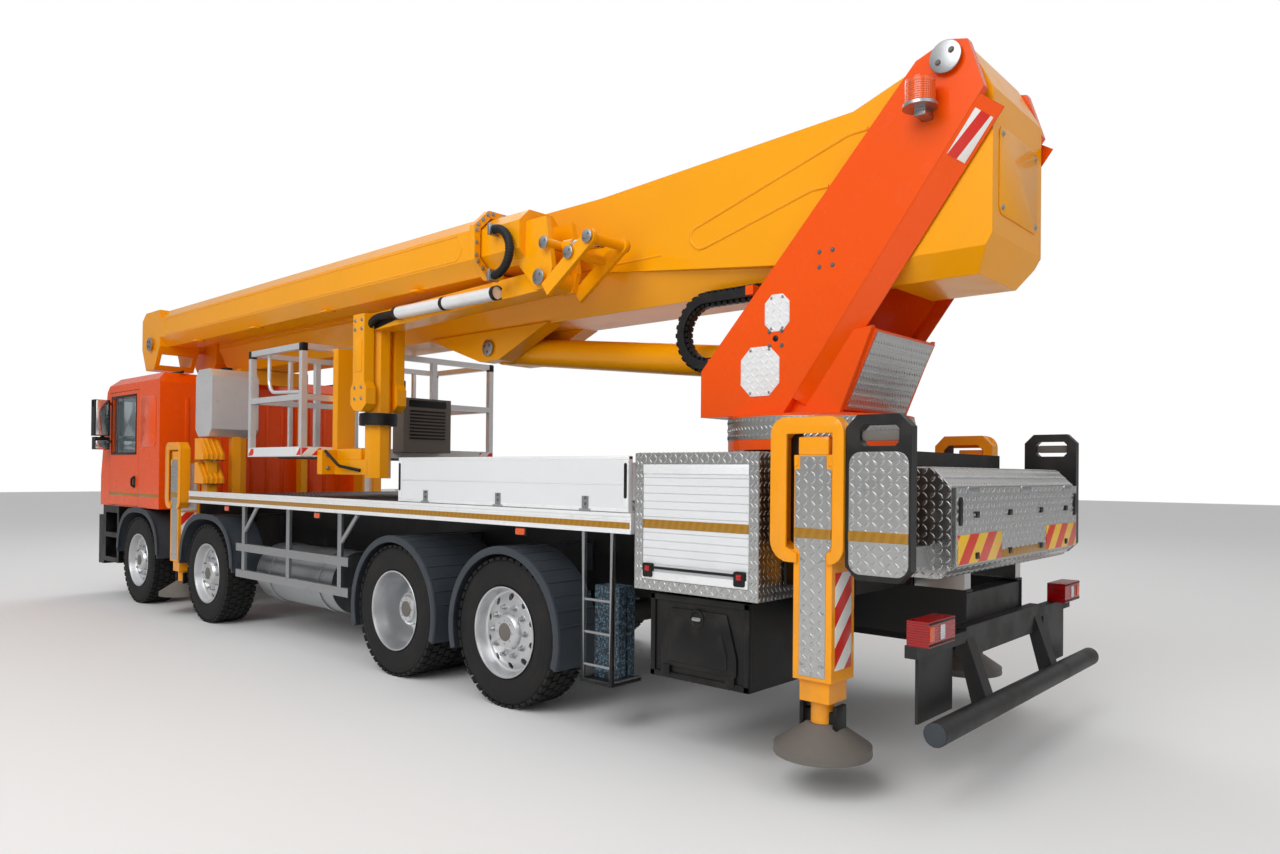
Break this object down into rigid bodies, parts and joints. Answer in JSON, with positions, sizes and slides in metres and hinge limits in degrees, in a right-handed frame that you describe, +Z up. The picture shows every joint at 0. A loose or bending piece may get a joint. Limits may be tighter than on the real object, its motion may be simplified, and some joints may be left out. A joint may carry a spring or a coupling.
{
  "type": "truck-mounted aerial work platform",
  "caption": "Heavy truck with steered front axles, outriggers, and a slewing telescopic boom whose folded jib carries a work cage.",
  "frame": {"origin": "on the ground under the middle of the vehicle", "axes": "+X forward, +Y to the left, +Z up"},
  "size_m": [11.3, 2.92, 3.955],
  "materials": {
    "orange_paint": "gloss orange-red paint",
    "yellow_paint": "gloss orange-yellow paint",
    "black_paint": "satin black paint",
    "running_gear": "dark painted castings",
    "wheels": "rubber tyre on a forged rim",
    "aluminium": "bare and checker plate aluminium",
    "white_panel": "white coated panels",
    "black_plastic": "moulded black plastic",
    "glass": "tinted safety glass",
    "lamp_red": "red lens",
    "interior": "dark trim",
    "bright_steel": "polished rod"
  },
  "bodies": {
    "chassis": {"frame": "black_paint", "underrun": "black_paint", "axles": "running_gear", "powertrain": "running_gear", "cab_shell": "orange_paint", "cab_interior": "interior", "cab_glass": "glass", "cab_front": "black_plastic", "tail_lamps": "lamp_red", "fuel_tank": "aluminium", "mudguards": "black_plastic", "side_guards": "aluminium", "deck": "aluminium", "lockers": "aluminium", "shutters": "white_panel", "toolboxes": "black_plastic", "rear_body": "aluminium", "boom_rest": "yellow_paint", "fluid_box": "aluminium", "subframe": "black_paint"},
    "knuckle_1_left": {"knuckle_1_left": "running_gear"},
    "wheel_1_left": {"wheel_1_left": "wheels"},
    "knuckle_1_right": {"knuckle_1_right": "running_gear"},
    "wheel_1_right": {"wheel_1_right": "wheels"},
    "knuckle_2_left": {"knuckle_2_left": "running_gear"},
    "wheel_2_left": {"wheel_2_left": "wheels"},
    "knuckle_2_right": {"knuckle_2_right": "running_gear"},
    "wheel_2_right": {"wheel_2_right": "wheels"},
    "wheel_3_left": {"wheel_3_left": "wheels"},
    "wheel_3_right": {"wheel_3_right": "wheels"},
    "wheel_4_left": {"wheel_4_left": "wheels"},
    "wheel_4_right": {"wheel_4_right": "wheels"},
    "door_left": {"door_left": "orange_paint", "door_glass_left": "glass"},
    "dropside_left": {"dropside_left": "white_panel"},
    "toolbox_lid_left": {"toolbox_lid_left": "black_plastic"},
    "beam_front_left": {"beam_front_left": "yellow_paint"},
    "leg_front_left": {"leg_front_left": "yellow_paint"},
    "beam_rear_left": {"beam_rear_left": "yellow_paint"},
    "leg_rear_left": {"leg_rear_left": "yellow_paint"},
    "door_right": {"door_right": "orange_paint", "door_glass_right": "glass"},
    "dropside_right": {"dropside_right": "white_panel"},
    "toolbox_lid_right": {"toolbox_lid_right": "black_plastic"},
    "beam_front_right": {"beam_front_right": "yellow_paint"},
    "leg_front_right": {"leg_front_right": "yellow_paint"},
    "beam_rear_right": {"beam_rear_right": "yellow_paint"},
    "leg_rear_right": {"leg_rear_right": "yellow_paint"},
    "rear_flap": {"rear_flap": "aluminium"},
    "tower": {"tower": "orange_paint"},
    "boom_base": {"boom_base": "yellow_paint"},
    "boom_2": {"boom_2": "yellow_paint"},
    "boom_3": {"boom_3": "yellow_paint"},
    "jib_base": {"jib_base": "yellow_paint"},
    "jib_2": {"jib_2": "yellow_paint"},
    "basket_arm": {"basket_arm": "yellow_paint"},
    "cage": {"cage": "aluminium", "cage_carrier": "yellow_paint"},
    "lift_barrel": {"lift_barrel": "yellow_paint"},
    "lift_rod": {"lift_rod": "bright_steel"}
  },
  "joints": [
    {"name": "steer_1_left", "type": "hinge", "parent": "chassis", "child": "knuckle_1_left", "pos_m": [4.253, 0.88, 0.51], "axis": [0, 0, 1], "range_deg": [-38, 38]},
    {"name": "roll_1_left", "type": "hinge", "parent": "knuckle_1_left", "child": "wheel_1_left", "pos_m": [4.253, 1.094, 0.51], "axis": [0, 1, 0], "continuous": true},
    {"name": "steer_1_right", "type": "hinge", "parent": "chassis", "child": "knuckle_1_right", "pos_m": [4.253, -0.88, 0.51], "axis": [0, 0, 1], "range_deg": [-38, 38]},
    {"name": "roll_1_right", "type": "hinge", "parent": "knuckle_1_right", "child": "wheel_1_right", "pos_m": [4.253, -1.094, 0.51], "axis": [0, 1, 0], "continuous": true},
    {"name": "steer_2_left", "type": "hinge", "parent": "chassis", "child": "knuckle_2_left", "pos_m": [2.298, 0.88, 0.51], "axis": [0, 0, 1], "range_deg": [-25, 25]},
    {"name": "roll_2_left", "type": "hinge", "parent": "knuckle_2_left", "child": "wheel_2_left", "pos_m": [2.298, 1.094, 0.51], "axis": [0, 1, 0], "continuous": true},
    {"name": "steer_2_right", "type": "hinge", "parent": "chassis", "child": "knuckle_2_right", "pos_m": [2.298, -0.88, 0.51], "axis": [0, 0, 1], "range_deg": [-25, 25]},
    {"name": "roll_2_right", "type": "hinge", "parent": "knuckle_2_right", "child": "wheel_2_right", "pos_m": [2.298, -1.094, 0.51], "axis": [0, 1, 0], "continuous": true},
    {"name": "roll_3_left", "type": "hinge", "parent": "chassis", "child": "wheel_3_left", "pos_m": [-1.216, 1.094, 0.51], "axis": [0, 1, 0], "continuous": true},
    {"name": "roll_3_right", "type": "hinge", "parent": "chassis", "child": "wheel_3_right", "pos_m": [-1.216, -1.094, 0.51], "axis": [0, 1, 0], "continuous": true},
    {"name": "roll_4_left", "type": "hinge", "parent": "chassis", "child": "wheel_4_left", "pos_m": [-2.555, 1.094, 0.51], "axis": [0, 1, 0], "continuous": true},
    {"name": "roll_4_right", "type": "hinge", "parent": "chassis", "child": "wheel_4_right", "pos_m": [-2.555, -1.094, 0.51], "axis": [0, 1, 0], "continuous": true},
    {"name": "door_left_hinge", "type": "hinge", "parent": "chassis", "child": "door_left", "pos_m": [5.3, 1.245, 1.8], "axis": [0, 0, -1], "range_deg": [0, 75]},
    {"name": "dropside_left_hinge", "type": "hinge", "parent": "chassis", "child": "dropside_left", "pos_m": [-2.515, 1.28, 1.37], "axis": [-1, 0, 0], "range_deg": [0, 180]},
    {"name": "toolbox_left_hinge", "type": "hinge", "parent": "chassis", "child": "toolbox_lid_left", "pos_m": [-4.255, 1.255, 0.445], "axis": [-1, 0, 0], "range_deg": [0, 90]},
    {"name": "outrigger_front_left_reach", "type": "slide", "parent": "chassis", "child": "beam_front_left", "axis": [0, 1, 0], "range_m": [0, 1.5]},
    {"name": "outrigger_front_left_drop", "type": "slide", "parent": "beam_front_left", "child": "leg_front_left", "axis": [0, 0, -1], "range_m": [0, 0.6]},
    {"name": "outrigger_rear_left_reach", "type": "slide", "parent": "chassis", "child": "beam_rear_left", "axis": [0, 1, 0], "range_m": [0, 1.5]},
    {"name": "outrigger_rear_left_drop", "type": "slide", "parent": "beam_rear_left", "child": "leg_rear_left", "axis": [0, 0, -1], "range_m": [0, 0.6]},
    {"name": "door_right_hinge", "type": "hinge", "parent": "chassis", "child": "door_right", "pos_m": [5.3, -1.245, 1.8], "axis": [0, 0, 1], "range_deg": [0, 75]},
    {"name": "dropside_right_hinge", "type": "hinge", "parent": "chassis", "child": "dropside_right", "pos_m": [-2.515, -1.28, 1.37], "axis": [1, 0, 0], "range_deg": [0, 180]},
    {"name": "toolbox_right_hinge", "type": "hinge", "parent": "chassis", "child": "toolbox_lid_right", "pos_m": [-4.255, -1.255, 0.445], "axis": [1, 0, 0], "range_deg": [0, 90]},
    {"name": "outrigger_front_right_reach", "type": "slide", "parent": "chassis", "child": "beam_front_right", "axis": [0, -1, 0], "range_m": [0, 1.5]},
    {"name": "outrigger_front_right_drop", "type": "slide", "parent": "beam_front_right", "child": "leg_front_right", "axis": [0, 0, -1], "range_m": [0, 0.6]},
    {"name": "outrigger_rear_right_reach", "type": "slide", "parent": "chassis", "child": "beam_rear_right", "axis": [0, -1, 0], "range_m": [0, 1.5]},
    {"name": "outrigger_rear_right_drop", "type": "slide", "parent": "beam_rear_right", "child": "leg_rear_right", "axis": [0, 0, -1], "range_m": [0, 0.6]},
    {"name": "rear_flap_hinge", "type": "hinge", "parent": "chassis", "child": "rear_flap", "pos_m": [-5.5555, 0, 1.545], "axis": [0, 1, 0], "range_deg": [0, 100]},
    {"name": "slew", "type": "hinge", "parent": "chassis", "child": "tower", "pos_m": [-4.26, 0, 1.97], "axis": [0, 0, 1], "range_deg": [-250, 250]},
    {"name": "luff", "type": "hinge", "parent": "tower", "child": "boom_base", "pos_m": [-5.32, 0, 3.85], "axis": [0, -1, 0], "range_deg": [0, 80]},
    {"name": "boom_2_reach", "type": "slide", "parent": "boom_base", "child": "boom_2", "axis": [1, 0, 0], "range_m": [0, 4.001]},
    {"name": "boom_3_reach", "type": "slide", "parent": "boom_2", "child": "boom_3", "axis": [1, 0, 0], "range_m": [0, 4.001]},
    {"name": "jib_fold", "type": "hinge", "parent": "boom_3", "child": "jib_base", "pos_m": [4.75, 0.72, 3.15], "axis": [0, -1, 0], "range_deg": [0, 180]},
    {"name": "jib_2_reach", "type": "slide", "parent": "jib_base", "child": "jib_2", "axis": [-1, 0, 0], "range_m": [0, 5.401]},
    {"name": "basket_level", "type": "hinge", "parent": "jib_2", "child": "basket_arm", "pos_m": [-2.48, 0.72, 3], "axis": [0, 1, 0], "range_deg": [0, 180]},
    {"name": "cage_swivel", "type": "hinge", "parent": "basket_arm", "child": "cage", "pos_m": [-0.1, 0.72, 2.01], "axis": [0, 0, 1], "range_deg": [0, 180]},
    {"name": "lift_barrel_turn", "type": "hinge", "parent": "boom_base", "child": "lift_barrel", "pos_m": [-1.15, 0, 2.67], "axis": [0, -1, 0], "range_deg": [-5.09, 0]},
    {"name": "lift_rod_reach", "type": "slide", "parent": "lift_barrel", "child": "lift_rod", "axis": [-0.9937, 0, -0.1122], "range_m": [0, 2.375]}
  ],
  "couplings": [
    {"joint": "steer_1_right", "follows": "steer_1_left", "ratio": 1},
    {"joint": "steer_2_left", "follows": "steer_1_left", "ratio": 0.64},
    {"joint": "steer_2_right", "follows": "steer_1_left", "ratio": 0.64},
    {"joint": "boom_2_reach", "follows": "luff", "m_per_rad": 2.8648},
    {"joint": "boom_3_reach", "follows": "luff", "m_per_rad": 2.8648},
    {"joint": "jib_fold", "follows": "luff", "ratio": 0.06},
    {"joint": "jib_2_reach", "follows": "luff", "m_per_rad": 3.8675},
    {"joint": "basket_level", "follows": "luff", "ratio": 1.06},
    {"joint": "lift_barrel_turn", "follows": "luff", "ratio": -0.06234},
    {"joint": "lift_rod_reach", "follows": "luff", "m_per_rad": 1.6996}
  ]
}
